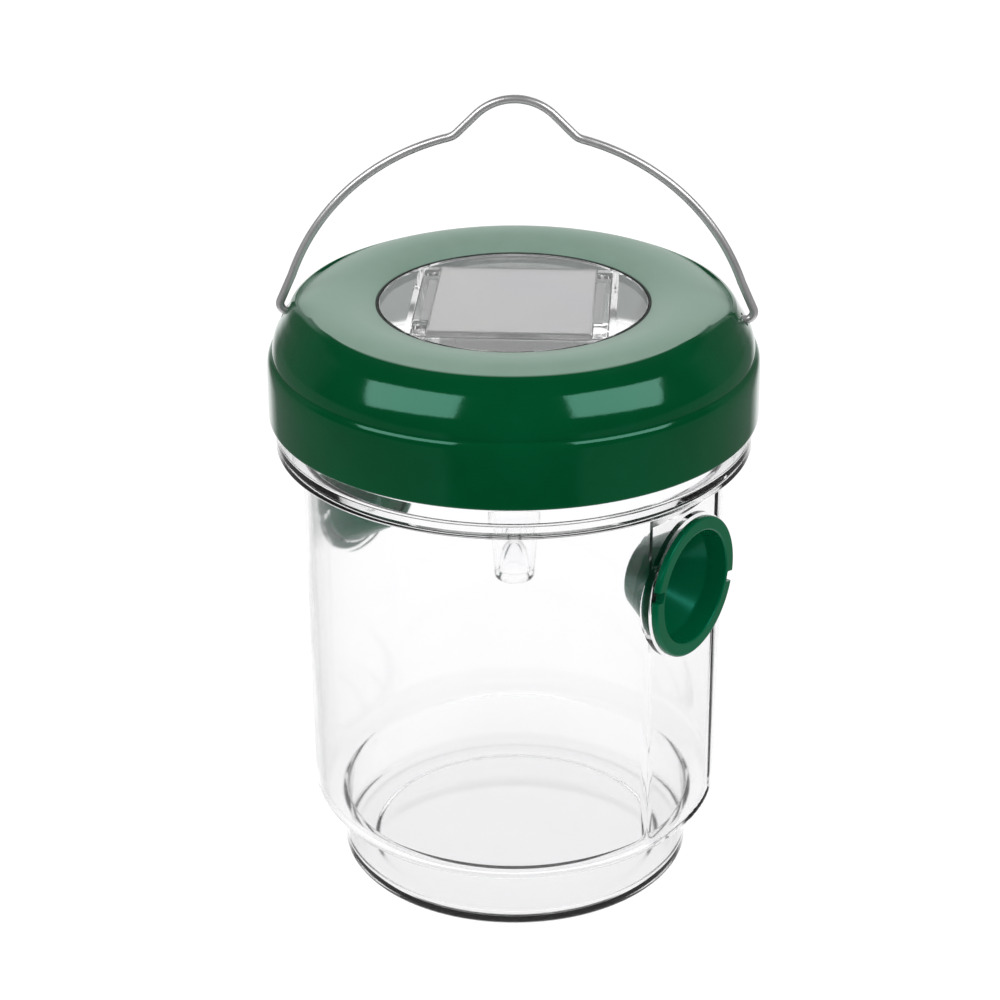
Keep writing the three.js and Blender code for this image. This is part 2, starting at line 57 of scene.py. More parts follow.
PORT_Z = 91.6
FACET_X = 52.1
FACET_TOP = 113.4
PORT_COLLAR_R = 18.9
PORT_COLLAR_X = 53.45
PORT_BORE_R = 15.9
FLANGE_R = 18.35
FLANGE_X = 55.65
TUNNEL_R = 6.2
NOTCH_WIDTH = 2.8
NOTCH_TILT = -13.0

LID_BOTTOM = 127.55
WINDOW_R = 34.6
EAR_HEIGHT = 1.2
EAR_SPREAD = 58.0

BAIL_Z = 152.3
BAIL_SHIFT = 0.6
WIRE_R = 1.09

POD_X = 52.0
POD_Y = 48.0
POD_SHIFT = 2.0
POD_WALL = 1.6
POD_TOP = 156.2
POD_BOTTOM = 135.6
POD_FLANGE_BOTTOM = 152.6
POD_FLANGE_TOP = 154.0
LAMP_TIP = 79.0

BAIL_HOLE_R = 1.7
LID_SCREW_CIRCLE = 45.0       # radius of the circle that the lid's four screws stand on
LID_PILOT_R = 1.3

ROUND = 224                   # steps round the jar and the lid

# The camera's angles in radians: round from the jar's front, and above the horizon.
VIEW_TURN = math.radians(35)
VIEW_ELEVATION = math.radians(25.6)


# ---- Mesh helpers --------------------------------------------------------------------------

def link(name, mesh):
    """Object of a mesh that was built in millimetres."""
    mesh.transform(Matrix.Scale(MM, 4))
    piece = bpy.data.objects.new(name, mesh)
    bpy.context.scene.collection.objects.link(piece)
    return piece


def mesh_from(bm, name):
    mesh = bpy.data.meshes.new(name)
    bmesh.ops.recalc_face_normals(bm, faces=bm.faces)
    bm.to_mesh(mesh)
    bm.free()
    return mesh


def smooth(piece, angle=35):
    piece.data.shade_smooth()
    piece.data.set_sharp_from_angle(angle=math.radians(angle))


def filleted(points, steps=8):
    """Outline of [r, z] or [r, z, radius] corners, with an arc in each corner that has a radius."""
    corners = [(Vector(p[:2]), p[2] if len(p) > 2 else 0) for p in points]
    out = []
    for i, (corner, radius) in enumerate(corners):
        if radius == 0 or i in (0, len(corners) - 1):
            out.append(corner)
            continue
        back = (corners[i - 1][0] - corner)
        ahead = (corners[i + 1][0] - corner)
        half = back.angle(ahead) / 2
        reach = min(radius / math.tan(half), 0.49 * back.length, 0.49 * ahead.length)
        radius = reach * math.tan(half)
        start = corner + back.normalized() * reach
        end = corner + ahead.normalized() * reach
        bisector = (back.normalized() + ahead.normalized()).normalized()
        centre = corner + bisector * (radius / math.sin(half))
        first = start - centre
        turn = first.angle_signed(end - centre)
        for k in range(steps + 1):
            spin = Matrix.Rotation(-turn * k / steps, 2)
            out.append(centre + spin @ first)
    return [(p.x, p.y) for p in out]


def arc(cr, cz, radius, start, end, steps):
    """Points of a circular arc from one angle to another, in degrees."""
    angles = np.radians(np.linspace(start, end, steps + 1))
    return [(cr + radius * math.cos(a), cz + radius * math.sin(a)) for a in angles]


def spline(points, steps):
    """Smooth curve through the points, with the given number of steps in each span."""
    pts = [Vector(p) for p in points]
    pts = [2 * pts[0] - pts[1]] + pts + [2 * pts[-1] - pts[-2]]
    out = []
    for i in range(1, len(pts) - 2):
        p0, p1, p2, p3 = pts[i - 1:i + 3]
        for k in range(steps):
            t = k / steps
            a = 2 * p1
            b = (p2 - p0) * t
            c = (2 * p0 - 5 * p1 + 4 * p2 - p3) * t * t
            d = (3 * p1 - p0 - 3 * p2 + p3) * t ** 3
            out.append(tuple((a + b + c + d) * 0.5))
    out.append(tuple(pts[-2]))
    return out


def held(outline, near=0.14):
    """Outline with a point close to both ends of each long side, so that the shading stays flat."""
    out = []
    for a, b in zip(outline, outline[1:]):
        start, end = Vector(a), Vector(b)
        length = (end - start).length
        out.append(a)
        if length > 1:
            out += [tuple(start.lerp(end, near / length)), tuple(end.lerp(start, near / length))]
    return out + [outline[-1]]


def hold_faces(bm, width=0.06, area=4.0):
    """Narrow rim inside each large flat face, for the same reason."""
    faces = [f for f in bm.faces if f.calc_area() > area]
    bmesh.ops.inset_individual(bm, faces=faces, thickness=width)


def revolve(outline, steps=ROUND, ring=False, angles=None, move=None):
    """Mesh of an outline of (r, z) turned about Z. A ring's outline closes on itself, and any
    other outline starts and ends on the axis. move(x, y, z, i) may shift outline point i."""
    angles = np.radians(angles) if angles is not None else np.arange(steps) * 2 * math.pi / steps
    bm = bmesh.new()
    rows = []
    for i, (r, z) in enumerate(outline):
        if r < 1e-6:
            rows.append([bm.verts.new((0, 0, z))])
            continue
        row = []
        for a in angles:
            place = (r * math.cos(a), r * math.sin(a), z)
            row.append(bm.verts.new(move(*place, i) if move else place))
        rows.append(row)
    pairs = list(zip(rows, rows[1:]))
    if ring:
        pairs.append((rows[-1], rows[0]))
    count = len(angles)
    for low, high in pairs:
        for k in range(count):
            n = (k + 1) % count
            quad = [low[k % len(low)], low[n % len(low)], high[n % len(high)], high[k % len(high)]]
            face = list(dict.fromkeys(quad))
            if len(face) > 2:
                bm.faces.new(face)
    return bm


def rod(radius, start, end, steps=48, axis="Z", place=(0, 0)):
    """Solid cylinder between two stations on an axis, for cutting and joining."""
    bm = revolve([(0, start), (radius, start), (radius, end), (0, end)], steps)
    if axis == "X":
        bmesh.ops.rotate(bm, verts=bm.verts, matrix=Matrix.Rotation(math.pi / 2, 3, "Y"))
        bmesh.ops.translate(bm, verts=bm.verts, vec=(0, place[0], place[1]))
    else:
        bmesh.ops.translate(bm, verts=bm.verts, vec=(place[0], place[1], 0))
    return bm


def block(low, high, bevel=0.0, segments=3, only=None):
    """Box between two corners, with rounded edges: all of them, or those along one axis."""
    bm = bmesh.new()
    bmesh.ops.create_cube(bm, size=1)
    size = [b - a for a, b in zip(low, high)]
    middle = [(a + b) / 2 for a, b in zip(low, high)]
    bmesh.ops.scale(bm, verts=bm.verts, vec=size)
    bmesh.ops.translate(bm, verts=bm.verts, vec=middle)
    if bevel:
        edges = bm.edges[:]
        if only is not None:
            edges = [e for e in edges if abs((e.verts[0].co - e.verts[1].co)[only]) > 1e-6]
        bmesh.ops.bevel(bm, geom=edges, offset=bevel, segments=segments, profile=0.5, affect="EDGES")
        hold_faces(bm)
    return bm


def combine(piece, tools, operation):
    """Joins or cuts a piece with solids made in millimetres."""
    for bm in tools:
        mesh = mesh_from(bm, "tool")
        tool = link("tool", mesh)
        step = piece.modifiers.new("step", "BOOLEAN")
        step.operation = operation
        step.solver = "EXACT"
        step.object = tool
        bpy.context.view_layer.update()
        graph = bpy.context.evaluated_depsgraph_get()
        result = bpy.data.meshes.new_from_object(piece.evaluated_get(graph))
        old = piece.data
        piece.modifiers.clear()
        piece.data = result
        bpy.data.meshes.remove(old)
        bpy.data.objects.remove(tool)
        bpy.data.meshes.remove(mesh)
    return piece


def sweep(points, radius, sides=20, lift=0.0):
    """Round wire along points in the XZ plane, with rounded ends."""
    line = np.array(points, float)
    tangent = np.gradient(line, axis=0)
    tangent /= np.linalg.norm(tangent, axis=1)[:, None]
    normal = np.stack([-tangent[:, 1], tangent[:, 0]], axis=1)
    bm = bmesh.new()
    rows = []
    for p, n in zip(line, normal):
        row = []
        for k in range(sides):
            a = 2 * math.pi * k / sides
            out = radius * math.cos(a)
            place = (p[0] + out * n[0], radius * math.sin(a), p[1] + out * n[1] + lift)
            row.append(bm.verts.new(place))
        rows.append(row)
    for low, high in zip(rows, rows[1:]):
        for k in range(sides):
            n = (k + 1) % sides
            bm.faces.new([low[k], low[n], high[n], high[k]])
    for row, along in ((rows[0], -tangent[0]), (rows[-1], tangent[-1])):
        cap = bm.faces.new(row)
        bmesh.ops.inset_individual(bm, faces=[cap], thickness=radius * 0.35)
        shift = Vector((along[0], 0, along[1])) * radius * 0.25
        bmesh.ops.translate(bm, verts=cap.verts[:], vec=shift)
    return bm


def turned(piece):
    """Turns a piece of the lid from the funnels' axis to the lid's own."""
    piece.data.transform(Matrix.Rotation(math.radians(LID_TURN), 4, "Z"))
    return piece


def finish_piece(piece, material, body, slot, *nodes, angle=35):
    """Shading, material, body and the CAD nodes that the piece stands for. The slot argument, the
    finish's name, is not used.
    """
    smooth(piece, angle)
    piece.data.materials.clear()
    piece.data.materials.append(material)
    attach(piece, body)
    if nodes:
        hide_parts(*nodes)
    return piece


# ---- Materials -----------------------------------------------------------------------------

class Shader:
    """A material's node tree with a Principled shader, and short calls that add nodes to it."""

    def __init__(self, name, **values):
        self.material = bpy.data.materials.new(name)
        self.material.use_nodes = True
        self.nodes = self.material.node_tree.nodes
        self.links = self.material.node_tree.links
        self.main = self.nodes["Principled BSDF"]
        for socket, value in values.items():
            self.main.inputs[socket.replace("_", " ")].default_value = value
        self.coord = self.nodes.new("ShaderNodeTexCoord")

    def noise(self, scale, detail=3.0, roughness=0.5, stretch=(1, 1, 1)):
        place = self.nodes.new("ShaderNodeMapping")
        place.inputs["Scale"].default_value = stretch
        self.links.new(self.coord.outputs["Object"], place.inputs["Vector"])
        node = self.nodes.new("ShaderNodeTexNoise")
        node.inputs["Scale"].default_value = scale
        node.inputs["Detail"].default_value = detail
        node.inputs["Roughness"].default_value = roughness
        self.links.new(place.outputs["Vector"], node.inputs["Vector"])
        return node.outputs["Fac"]

    def length(self, scale):
        """Length of the position once it is scaled on each axis, in metres."""
        flat = self.nodes.new("ShaderNodeVectorMath")
        flat.operation = "MULTIPLY"
        flat.inputs[1].default_value = scale
        self.links.new(self.coord.outputs["Object"], flat.inputs[0])
        length = self.nodes.new("ShaderNodeVectorMath")
        length.operation = "LENGTH"
        self.links.new(flat.outputs["Vector"], length.inputs[0])
        return length.outputs["Value"]

    def along(self, direction):
        """Position along a direction, in metres."""
        node = self.nodes.new("ShaderNodeVectorMath")
        node.operation = "DOT_PRODUCT"
        node.inputs[1].default_value = direction
        self.links.new(self.coord.outputs["Object"], node.inputs[0])
        return node.outputs["Value"]

    def number(self, operation, *values):
        node = self.nodes.new("ShaderNodeMath")
        node.operation = operation
        for value, socket in zip(values, node.inputs):
            self.set(socket, value)
        return node.outputs["Value"]

    def blend(self, factor, first, second):
        """Number between two others."""
        node = self.nodes.new("ShaderNodeMix")
        for value, socket in ((factor, node.inputs["Factor"]), (first, node.inputs["A"]),
                              (second, node.inputs["B"])):
            self.set(socket, value)
        return node.outputs["Result"]

    def between(self, factor, low, high, start=0.0, end=1.0):
        node = self.nodes.new("ShaderNodeMapRange")
        node.inputs["From Min"].default_value = start
        node.inputs["From Max"].default_value = end
        node.inputs["To Min"].default_value = low
        node.inputs["To Max"].default_value = high
        self.links.new(factor, node.inputs["Value"])
        return node.outputs["Result"]

    def mix(self, factor, first, second):
        node = self.nodes.new("ShaderNodeMix")
        node.data_type = "RGBA"
        for value, socket in ((factor, node.inputs["Factor"]), (first, node.inputs["A"]),
                              (second, node.inputs["B"])):
            self.set(socket, value)
        return node.outputs["Result"]

    def set(self, socket, value):
        if isinstance(value, bpy.types.NodeSocket):
            self.links.new(value, socket)
        else:
            socket.default_value = value

    def drive(self, name, value):
        self.set(self.main.inputs[name], value)

    def bump(self, height, distance, strength=1.0):
        node = self.nodes.new("ShaderNodeBump")
        node.inputs["Distance"].default_value = distance
        node.inputs["Strength"].default_value = strength
        self.links.new(height, node.inputs["Height"])
        self.links.new(node.outputs["Normal"], self.main.inputs["Normal"])


def clear_plastic(name, low, high):
    shader = Shader(name, Transmission_Weight=1.0, IOR=1.37)
    cloud = shader.noise(28, 2)
    shader.drive("Base Color", shader.mix(cloud, (*low, 1), (*high, 1)))
    shader.drive("Roughness", shader.between(shader.noise(90, 4), 0.03, 0.075))
    shader.bump(shader.noise(45, 2, stretch=(1, 1, 0.35)), 0.00006)
    return shader.material


def green_plastic(name, dark, light, rough, **values):
    """Glossy moulded green, between two close colours."""
    shader = Shader(name, IOR=1.46, **values)
    tone = shader.between(shader.noise(35, 5), 0, 1, 0.3, 0.7)
    shader.drive("Base Color", shader.mix(tone, (*dark, 1), (*light, 1)))
    shader.drive("Roughness", shader.between(shader.noise(60, 5), *rough))
    shader.bump(shader.noise(700, 4), 0.00002, 0.5)
    return shader


def lid_plastic():
    """Glossy green whose crown, up to the line where the ears step up, has a rougher satin grain and a
    painted sheen: a pale grey-green base colour in place of the light that the satin scatters.
    """
    dark, light = (0.0, 0.038, 0.0105), (0.0, 0.05, 0.0155)
    shader = green_plastic("lid_green", dark, light, (0.06, 0.13), Specular_Tint=(0.4, 1.0, 0.82, 1))
    colour = shader.main.inputs["Base Color"].links[0].from_socket
    polish = shader.main.inputs["Roughness"].links[0].from_socket
    turn = math.radians(LID_TURN)
    radius = shader.length((1, 1, 0))
    along = shader.number("ABSOLUTE", shader.along((math.cos(turn), math.sin(turn), 0)))
    near_ear = shader.between(shader.number("DIVIDE", along, radius), 0, 0.003, 0.94, 1.0)
    reach = shader.number("SUBTRACT", radius, near_ear)
    # Mask of the crown, which gets the rougher satin finish and the painted sheen.
    crown = shader.between(reach, 1, 0, 0.0515, 0.0521)
    grain = shader.noise(180, 5)
    # Painted sheen: this pale grey-green stands for light scattered by the crown's satin finish, not
    # the plastic's own colour.
    painted_sheen = shader.mix(grain, (0.15, 0.222, 0.178, 1), (0.185, 0.262, 0.215, 1))
    shader.drive("Base Color", shader.mix(crown, colour, painted_sheen))
    shader.drive("Roughness", shader.blend(crown, polish, shader.between(grain, 0.34, 0.48)))
    return shader.material


def bright_wire():
    shader = Shader("bright_wire", Metallic=0.8)
    streak = shader.noise(240, 4, stretch=(1, 1, 0.25))
    shader.drive("Base Color", shader.mix(streak, (0.5, 0.49, 0.5, 1), (0.72, 0.71, 0.72, 1)))
    shader.drive("Roughness", shader.between(streak, 0.24, 0.42))
    shader.bump(shader.noise(900, 3, stretch=(1, 1, 0.3)), 0.00002)
    return shader.material


def plated_steel():
    shader = Shader("plated_steel", Metallic=1.0)
    grain = shader.noise(900, 4)
    shader.drive("Base Color", shader.mix(grain, (0.52, 0.52, 0.53, 1), (0.66, 0.66, 0.66, 1)))
    shader.drive("Roughness", shader.between(grain, 0.25, 0.42))
    shader.bump(grain, 0.00002)
    return shader.material


def dark_rubber():
    shader = Shader("dark_rubber")
    grain = shader.noise(1200, 4)
    shader.drive("Base Color", shader.mix(grain, (0.012, 0.016, 0.014, 1), (0.03, 0.036, 0.032, 1)))
    shader.drive("Roughness", shader.between(grain, 0.55, 0.8))
    shader.bump(grain, 0.00004)
    return shader.material


def satin(name, low, high, rough=(0.35, 0.5), scale=400):
    """Moulded plastic with a fine grain, between two close colours."""
    shader = Shader(name)
    grain = shader.noise(scale, 5)
    shader.drive("Base Color", shader.mix(grain, (*low, 1), (*high, 1)))
    shader.drive("Roughness", shader.between(grain, *rough))
    shader.bump(grain, 0.00002)
    return shader.material


def panel_face():
    """Pale glossy panel with a faint play of lavender and cream over it."""
    shader = Shader("panel_face", Coat_Weight=0.4, Coat_Roughness=0.05)
    patch = shader.between(shader.noise(32, 2), 0, 1, 0.35, 0.65)
    shader.drive("Base Color", shader.mix(patch, (0.63, 0.615, 0.69, 1), (0.72, 0.70, 0.68, 1)))
    shader.drive("Roughness", shader.between(shader.noise(300, 4), 0.16, 0.3))
    shader.bump(shader.noise(420, 2), 0.00002)
    return shader.material


def lamp_epoxy():
    shader = Shader("lamp_epoxy", Transmission_Weight=0.85, IOR=1.53)
    haze = shader.noise(220, 3)
    shader.drive("Base Color", shader.mix(haze, (0.93, 0.93, 0.9, 1), (0.97, 0.97, 0.96, 1)))
    shader.drive("Roughness", shader.between(haze, 0.08, 0.2))
    shader.bump(haze, 0.00003)
    return shader.material


CLEAR = clear_plastic("clear_plastic", (0.99, 0.99, 0.995), (1.0, 1.0, 1.0))
JAR_CLEAR = clear_plastic("jar_plastic", (0.962, 0.96, 0.968), (0.974, 0.972, 0.976))
GREEN = green_plastic("green_plastic", (0.0, 0.07, 0.026), (0.0, 0.088, 0.036), (0.16, 0.28),
                      Specular_IOR_Level=0.4, Specular_Tint=(0.12, 1.0, 0.78, 1)).material
LID_GREEN = lid_plastic()
WIRE = bright_wire()
STEEL = plated_steel()
RUBBER = dark_rubber()
PANEL = panel_face()
EPOXY = lamp_epoxy()
GREY = satin("grey_plastic", (0.40, 0.41, 0.43), (0.48, 0.49, 0.5))
WHITE = satin("white_plastic", (0.74, 0.74, 0.75), (0.84, 0.84, 0.84))
BOARD = satin("white_board", (0.62, 0.67, 0.62), (0.72, 0.76, 0.71), (0.3, 0.45), 250)


# ---- Jar -----------------------------------------------------------------------------------

def facet_angles():
    """Angles round the jar, with one on each edge of both flat facets."""
    edge = math.degrees(math.acos(FACET_X / (BODY_R + 0.05)))
    quarter = list(np.linspace(0, edge, 14)[:-1]) + list(np.linspace(edge, 90, 46)[:-1])
    half = quarter + [180 - a for a in quarter[:0:-1]] + [90]
    half = sorted(half)
    return half + [a + 180 for a in half]


def flatten(station, top):
    """Returns a move that holds |x| at a station below a height, which makes the facets."""
    def move(x, y, z, _):
        if z < top and abs(x) > station:
            x = math.copysign(station, x)
        return (x, y, z)
    return move


def body_rows(low, high, radius_low, radius_high, breaks):
    """Straight wall from one height to another, with a row on each side of each break."""
    heights = [low] + [b + d for b in breaks for d in (-0.12, 0.12)] + [high]
    return [(np.interp(h, [low, high], [radius_low, radius_high]), h) for h in heights]


def make_jar():
    shoulder = BODY_R - 0.1 - SHOULDER_R
    middle = FOOT_TOP + SHOULDER_R
    outside = held(filleted([
        (0, 1.2), (37.2, 1.2, 0.8), (38.4, 0, 0.8), (FOOT_R - 0.4, 0, 1.8),
        (FOOT_R, FOOT_TOP + 0.1, 0.6), (shoulder + 1.8, FOOT_TOP + 0.22),
    ])[:-1])
    outside += arc(shoulder, middle, SHOULDER_R, -76, 0, 16)
    outside += body_rows(middle + 0.2, BODY_TOP - 1.2, BODY_R - 0.1, BODY_R + 0.1, [FACET_TOP])
    outside += held(filleted([
        (BODY_R + 0.1, BODY_TOP - 1), (BODY_R + 0.1, BODY_TOP, 0.5), (BAND_R, BODY_TOP, 0.8),
        (BAND_R, BAND_TOP, 0.5), (NECK_R, BAND_TOP, 0.3), (NECK_R, RIM_Z, 0.6), (0, RIM_Z),
    ]))
    jar = link("jar_body", mesh_from(
        revolve(outside, angles=facet_angles(), move=flatten(FACET_X, FACET_TOP)), "jar_body"))

    inner = BODY_R - WALL
    inside = held(filleted([
        (0, 2.0), (FOOT_R - WALL, 2.0, 3.0), (FOOT_R - WALL, FOOT_TOP + WALL, 2.0),
        (shoulder, FOOT_TOP + WALL),
    ])[:-1])
    inside += arc(shoulder, middle, SHOULDER_R - WALL, -84, 0, 14)
    inside += body_rows(middle + 0.2, BODY_TOP - 1.2, inner - 0.1, inner + 0.1, [FACET_TOP + WALL])
    inside += held(filleted([
        (inner + 0.1, BODY_TOP - 1), (inner + 0.6, BODY_TOP + 1.4, 1.0),
        (MOUTH_R, BODY_TOP + 2.4, 1.2), (MOUTH_R, RIM_Z + 1), (0, RIM_Z + 1),
    ]))
    hollow = revolve(inside, angles=facet_angles(), move=flatten(FACET_X - WALL, FACET_TOP + WALL))

    collars = []
    bores = []
    for side in (1, -1):
        ends = sorted([side * (FACET_X - 1.4), side * PORT_COLLAR_X])
        collars.append(rod(PORT_COLLAR_R, *ends, 128, "X", (0, PORT_Z)))
        ends = sorted([side * 45, side * 60])
        bores.append(rod(PORT_BORE_R, *ends, 128, "X", (0, PORT_Z)))
    combine(jar, collars, "UNION")
    combine(jar, [hollow] + bores, "DIFFERENCE")
    return finish_piece(jar, JAR_CLEAR, "jar", "clear_plastic", "jar", angle=14)


# ---- Entrance funnels ----------------------------------------------------------------------

def make_funnel(side, name, body, node):
    back = FLANGE_X - 1.9
    outline = held(filleted([
        (TUNNEL_R, 40.2), (TUNNEL_R, 39.45, 0.5), (8.8, 39.45, 0.7), (15.3, 50.0, 1.0),
        (15.4, back, 0.2), (FLANGE_R, back, 0.4), (FLANGE_R, FLANGE_X, 0.6),
        (14.8, FLANGE_X, 0.5), (13.9, 50.4, 2.0), (7.8, 40.9, 0.6),
        (TUNNEL_R, 40.8, 0.2), (TUNNEL_R, 40.4),
    ], 6))
    funnel = link(name, mesh_from(revolve(outline, 144, ring=True), name))
    notches = []
    half = NOTCH_WIDTH / 2
    for end in (1, -1):
        reach = sorted([end * 15.55, end * 20])
        notch = block((-half, reach[0], 50), (half, reach[1], 60), 0.35, 3, only=2)
        tilt = Matrix.Rotation(math.radians(NOTCH_TILT), 3, "Z")
        bmesh.ops.rotate(notch, verts=notch.verts, matrix=tilt)
        notches.append(notch)
    combine(funnel, notches, "DIFFERENCE")
    funnel.data.transform(Matrix.Rotation(math.pi / 2, 4, "Y"))
    if side < 0:
        funnel.data.transform(Matrix.Rotation(math.pi, 4, "Z"))
    funnel.data.transform(Matrix.Translation((0, 0, PORT_Z * MM)))
    return finish_piece(funnel, GREEN, body, "green_plastic", node)


# ---- Lid -----------------------------------------------------------------------------------

LID_CROWN = [
    (34.95, 156.5), (35.6, 156.83), (37.0, 157.38), (39.5, 158.12), (42.5, 158.68), (45.0, 158.83),
    (47.5, 158.68), (49.8, 158.22), (51.8, 157.5),
]
LID_SLOPE = [
    (51.8, 157.5), (54.0, 156.27), (56.0, 154.55), (57.8, 152.25), (59.3, 149.95), (60.3, 147.9),
    (60.85, 145.9), (61.0, 144.6),
]
LID_SKIRT = [
    (61.0, 144.6), (61.3, 144.38), (61.62, 144.0), (61.9, 143.5), (62.12, 142.8), (62.27, 141.8),
    (62.37, 140.3), (62.41, 138.0), (62.43, 134.0), (62.45, 129.0),
]


def ear_line(away):
    """Radius of the line along which the ear steps up, by the angle from the bail's axis."""
    return float(np.interp(away, [0, 5, 18, 35, 54, 75], [54.6, 54.4, 52.6, 51.4, 51.5, 51.9]))


def eared(x, y, z):
    """Moves a point of the lid's shoulder: rows bend to follow the ear's line and step up there."""
    r = math.hypot(x, y)
    if r < 48.5 or z < 145:
        return (x, y, z)
    away = math.degrees(math.atan2(abs(y), abs(x)))
    line = ear_line(away)
    bent = float(np.interp(r, [48.5, 52.2, 52.6, 59.0, 70], [48.5, line, line + 0.4, 59.0, 70]))
    height = float(np.interp(bent, *zip(*LID_PROFILE)))
    if away < EAR_SPREAD:
        along = 0.5 * (1 + math.cos(math.pi * away / EAR_SPREAD))
        height += EAR_HEIGHT * along * float(np.interp(
            bent, [line, line + 0.4, line + 1.4, 56.4, 57.6, 59.0], [0, 0.9, 1, 0.75, 0.3, 0]))
    return (x * bent / r, y * bent / r, height)


def dense(points, low, high, step):
    """Outline with extra points between two radii."""
    out = []
    for a, b in zip(points, points[1:]):
        out.append(a)
        if low < a[0] < high and b[0] > a[0]:
            count = int((b[0] - a[0]) / step)
            out += [tuple(Vector(a).lerp(Vector(b), k / (count + 1))) for k in range(1, count + 1)]
    return out + [points[-1]]


LID_PROFILE = spline(LID_CROWN, 8)[:-1] + spline(LID_SLOPE, 10)


def lid_screw_places():
    """Centres of the four screws that hold the module to the lid."""
    angles = [math.radians(45 + 90 * quarter) for quarter in range(4)]
    return [(LID_SCREW_CIRCLE * math.cos(a), LID_SCREW_CIRCLE * math.sin(a)) for a in angles]


def make_lid():
    dome = dense(LID_PROFILE, 51.7, 53.2, 0.1)[:-1] + spline(LID_SKIRT, 8)
    edge = filleted([(WINDOW_R, 154.5), (WINDOW_R, 156.3, 0.5), LID_CROWN[0]], 8)[:-1]
    skirt = held(filleted([
        (62.45, 128.95), (62.45, LID_BOTTOM, 0.5), (61.05, LID_BOTTOM, 0.4), (60.9, 140.0)], 6))
    inner = [(60.4, 143.2), (59.4, 146.0), (57.5, 148.8), (55.0, 151.4), (51.4, 154.2),
             (47.0, 156.2), (42.5, 157.1), (38.0, 156.2), (36.4, 154.5)]
    outline = edge + dome + skirt + inner
    outer = range(len(edge), len(edge) + len(dome))

    def move(x, y, z, i):
        return eared(x, y, z) if i in outer else (x, y, z)

    lid = link("lid_shell", mesh_from(revolve(outline, ROUND, ring=True, move=move), "lid_shell"))
    rib = revolve([(57.6, 145.9), (58.8, 145.9), (58.8, 148.6), (57.6, 149.8)], ROUND, ring=True)
    bosses = []
    holes = [rod(BAIL_HOLE_R, *ends, 40, "X", (0, BAIL_Z)) for ends in ((50, 66), (-66, -50))]
    for place in lid_screw_places():
        bosses.append(rod(2.6, POD_FLANGE_TOP + 0.3, 157.8, 32, place=place))
        holes.append(rod(LID_PILOT_R, POD_FLANGE_TOP - 1, 157.2, 24, place=place))
    combine(lid, [rib] + bosses, "UNION")
    combine(lid, holes, "DIFFERENCE")
    turned(lid)
    return finish_piece(lid, LID_GREEN, "lid", "green_plastic", "lid", angle=20)


def make_seals():
    gasket = link("mouth_gasket", mesh_from(revolve(filleted([
        (58.3, 144.05), (59.4, 144.05, 0.4), (59.4, 145.6, 0.5), (57.2, 145.6, 0.5),
        (57.2, 144.05, 0.4), (58.2, 144.05),
    ], 4), ROUND, ring=True), "mouth_gasket"))
    finish_piece(turned(gasket), RUBBER, "gasket", "seal_rubber", "lid_gasket")
    seal = link("window_ring", mesh_from(revolve(filleted([
        (34.3, 154.35), (34.5, 154.35), (34.5, 156.28, 0.1), (34.1, 156.28, 0.1), (34.1, 154.35),
        (34.2, 154.35),
    ], 3), ROUND, ring=True), "window_ring"))
    finish_piece(turned(seal), RUBBER, "lid", "seal_rubber", "window_seal")


# ---- Bail ----------------------------------------------------------------------------------

def bail_line():
    """Right half of the wire's centre line, from the top of the hump to the end in the ear."""
    hump_h, hump_r = 42.8, 13.5
    main_x, main_h, main_r = 1.5, -10.0, 58.3
    knee_r, bend_r = 5.0, 2.0
    leg_top, lean = math.radians(20), math.radians(24)
    total = hump_h + math.sqrt(2) * (hump_r + knee_r)
    b = (total - main_h + main_x) / 2
    c = (main_x ** 2 + (total - main_h) ** 2 - (main_r + knee_r) ** 2) / 2
    knee_x = b - math.sqrt(b * b - c)
    knee_h = total - knee_x
    knee_angle = math.degrees(math.atan2(knee_h - main_h, knee_x - main_x))
    leg_x = main_x + main_r * math.cos(leg_top)
    leg_h = main_h + main_r * math.sin(leg_top)
    drop = (leg_h - bend_r - bend_r * math.sin(lean)) / math.cos(lean)
    bend_x = leg_x + drop * math.sin(lean) - bend_r * math.cos(lean)
    line = arc(0, hump_h, hump_r, 90, 45, 22)
    line += arc(knee_x, knee_h, knee_r, 225, 180 + knee_angle, 10)
    line += arc(main_x, main_h, main_r, knee_angle, 20, 70)
    line += arc(bend_x, bend_r, bend_r, 24, -90, 16)
    line += [(bend_x - d, 0) for d in (0.6, 1.4, 2.4)] + [(53.9, 0)]
    return line


def make_bail():
    right = bail_line()
    left = [(-x, h) for x, h in right[:0:-1]]
    points = np.array(left + right) + (BAIL_SHIFT, 0)
    step = np.r_[0, np.cumsum(np.linalg.norm(np.diff(points, axis=0), axis=1))]
    even = np.linspace(0, step[-1], 420)
    line = np.stack([np.interp(even, step, points[:, k]) for k in (0, 1)], axis=1)
    bail = link("wire_bail", mesh_from(sweep(line, WIRE_R, 20, BAIL_Z), "wire_bail"))
    return finish_piece(turned(bail), WIRE, "bail", "steel_wire", "bail_handle", angle=50)


# ---- Solar module --------------------------------------------------------------------------

CORNERS = [(21.8, 20.0), (-21.8, 20.0), (-21.8, -16.0), (21.8, -16.0)]


def module_block(size_x, size_y, low, high, bevel=0.0, only=None):
    """Block centred on the module's box, which sits a little off the lid's axis."""
    return block((-size_x / 2, POD_SHIFT - size_y / 2, low), (size_x / 2, POD_SHIFT + size_y / 2, high),
                 bevel, 4, only)


